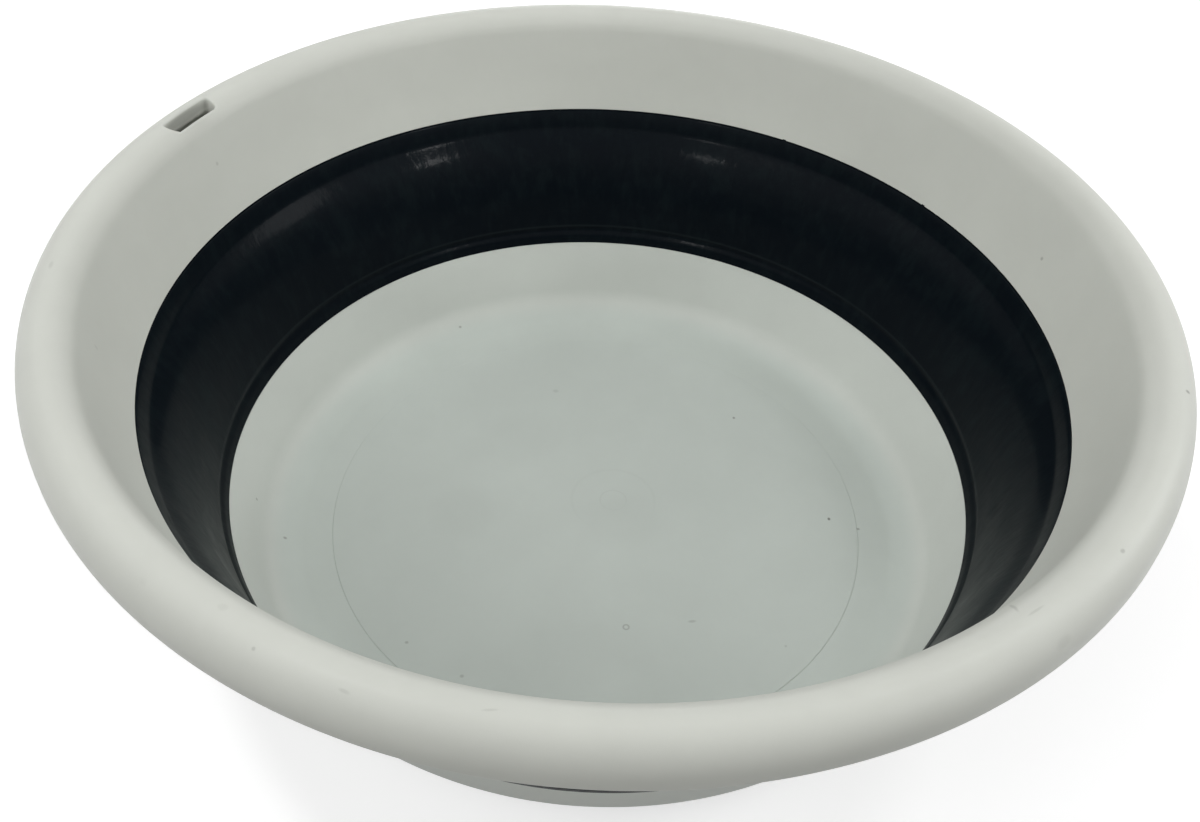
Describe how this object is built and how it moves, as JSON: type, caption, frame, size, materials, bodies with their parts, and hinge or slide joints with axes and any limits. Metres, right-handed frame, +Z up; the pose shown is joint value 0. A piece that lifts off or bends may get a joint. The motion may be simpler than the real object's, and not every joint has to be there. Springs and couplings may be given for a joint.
{
  "type": "collapsible wash basin",
  "caption": "Round collapsible plastic wash basin: a rimmed upper ring and a base dish joined by a folding elastomer band that lets the ring sink flat.",
  "frame": {"origin": "centre of the foot ring's underside, on the basin's axis and on the surface it stands on", "axes": "+Z up along the basin's axis, -Y towards the viewer of the picture, so that the hanging slot is at the back left"},
  "size_m": [0.32, 0.32, 0.115],
  "materials": {
    "ring_plastic": "pale grey-green polypropylene, moulded satin, slightly translucent",
    "base_plastic": "pale grey-green polypropylene, moulded satin, slightly translucent",
    "band_rubber": "black thermoplastic elastomer, satin"
  },
  "bodies": {
    "base": {"base_dish": "base_plastic", "band_lower_lip": "band_rubber"},
    "panel": {"band_panel": "band_rubber"},
    "ring": {"upper_ring": "ring_plastic", "band_upper_lip": "band_rubber"}
  },
  "joints": [
    {"name": "collapse", "type": "slide", "parent": "base", "child": "ring", "axis": [0, 0, -1], "range_m": [0, 0.071]},
    {"name": "panel_fold", "type": "slide", "parent": "base", "child": "panel", "axis": [0, 0, -1], "range_m": [0, 0.0355], "deforming": ["band_panel"]}
  ],
  "couplings": [
    {"joint": "panel_fold", "follows": "collapse", "ratio": 0.5}
  ]
}
